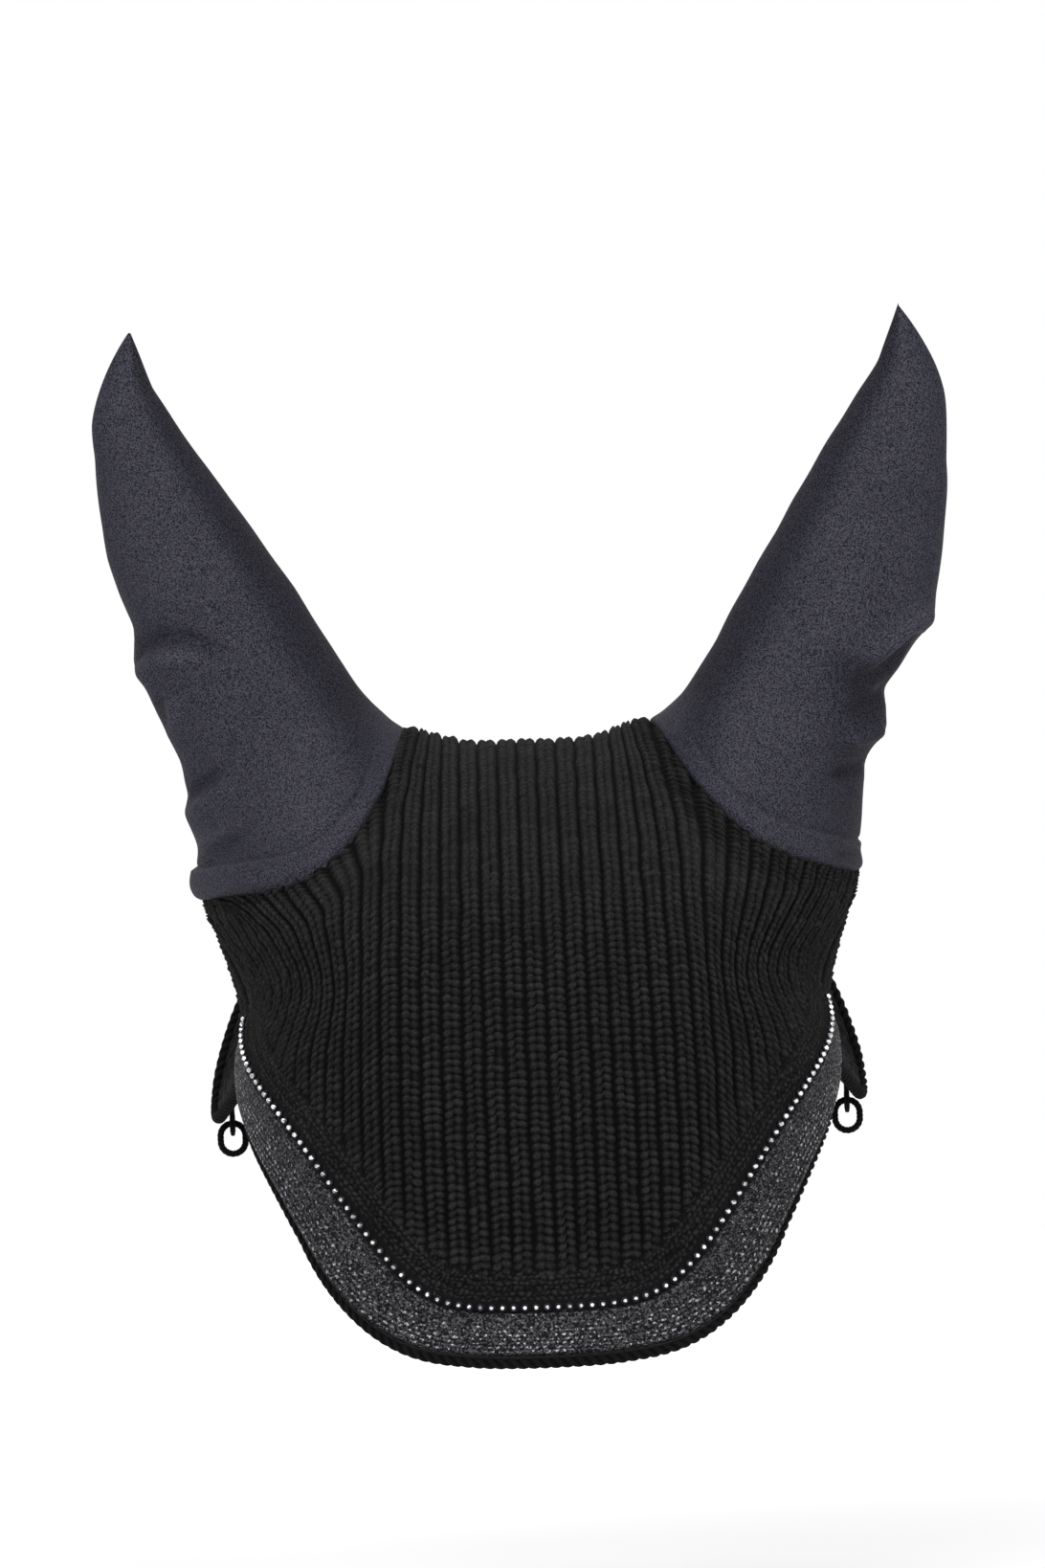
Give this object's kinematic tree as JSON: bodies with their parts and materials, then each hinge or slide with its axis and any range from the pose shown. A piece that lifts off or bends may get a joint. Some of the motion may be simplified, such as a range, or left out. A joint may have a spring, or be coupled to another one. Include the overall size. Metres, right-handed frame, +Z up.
{
  "type": "fly mask",
  "caption": "Knitted horse ear bonnet with a ribbed forehead, cloth ears that turn, cheek wings with tie loops, and a glitter hem with a row of set stones.",
  "frame": {"origin": "middle of the poll, on the inner face of the knit, where the bonnet rests on the horse's head", "axes": "+Z up along the ears, +Y to the back of the head so the forehead faces -Y, +X to the right as seen from the front"},
  "size_m": [0.3036, 0.2029, 0.3619],
  "materials": {
    "knit_rib": "black cotton rib knit",
    "knit_border": "black plain knit",
    "glitter_webbing": "dark foil-thread webbing with glints",
    "stone_tape": "black tape",
    "cup_metal": "bright plated cups",
    "stone_glass": "clear cut stones",
    "edge_cord": "black braided cord",
    "ear_cloth": "charcoal stretch cloth with a soft sheen",
    "seam_thread": "overlocked thread",
    "tie_tape": "woven black tape"
  },
  "bodies": {
    "bonnet": {"forehead_panel": "knit_rib", "left_cheek_panel": "knit_rib", "right_cheek_panel": "knit_rib", "poll_panel": "knit_rib", "hem_border": "knit_border", "glitter_band": "glitter_webbing", "crystal_tape": "stone_tape", "crystal_cups": "cup_metal", "crystals": "stone_glass", "hem_cord": "edge_cord", "back_cord": "edge_cord", "left_ear_collar": "ear_cloth", "right_ear_collar": "ear_cloth", "left_ear_seam": "seam_thread", "right_ear_seam": "seam_thread", "left_side_seam": "seam_thread", "right_side_seam": "seam_thread", "left_tie_tab": "tie_tape", "right_tie_tab": "tie_tape"},
    "left_ear": {"left_ear_front": "ear_cloth", "left_ear_back": "ear_cloth"},
    "right_ear": {"right_ear_front": "ear_cloth", "right_ear_back": "ear_cloth"},
    "left_tie": {"left_tie_loop": "edge_cord"},
    "right_tie": {"right_tie_loop": "edge_cord"}
  },
  "joints": [
    {"name": "left_ear_swivel", "type": "hinge", "parent": "bonnet", "child": "left_ear", "pos_m": [-0.09061, -0.02125, 0.01137], "axis": [-0.3073, -0.1045, 0.9458], "range_deg": [-25, 25], "stiffness_Nm_per_rad": 0.02},
    {"name": "right_ear_swivel", "type": "hinge", "parent": "bonnet", "child": "right_ear", "pos_m": [0.09061, -0.02125, 0.01137], "axis": [0.3073, -0.1045, 0.9458], "range_deg": [-25, 25], "stiffness_Nm_per_rad": 0.02},
    {"name": "left_tie_swing", "type": "hinge", "parent": "bonnet", "child": "left_tie", "pos_m": [-0.10923, 0.00664, -0.12866], "axis": [1, 0, 0], "range_deg": [-50, 50]},
    {"name": "right_tie_swing", "type": "hinge", "parent": "bonnet", "child": "right_tie", "pos_m": [0.10923, 0.00664, -0.12866], "axis": [1, 0, 0], "range_deg": [-50, 50]}
  ]
}
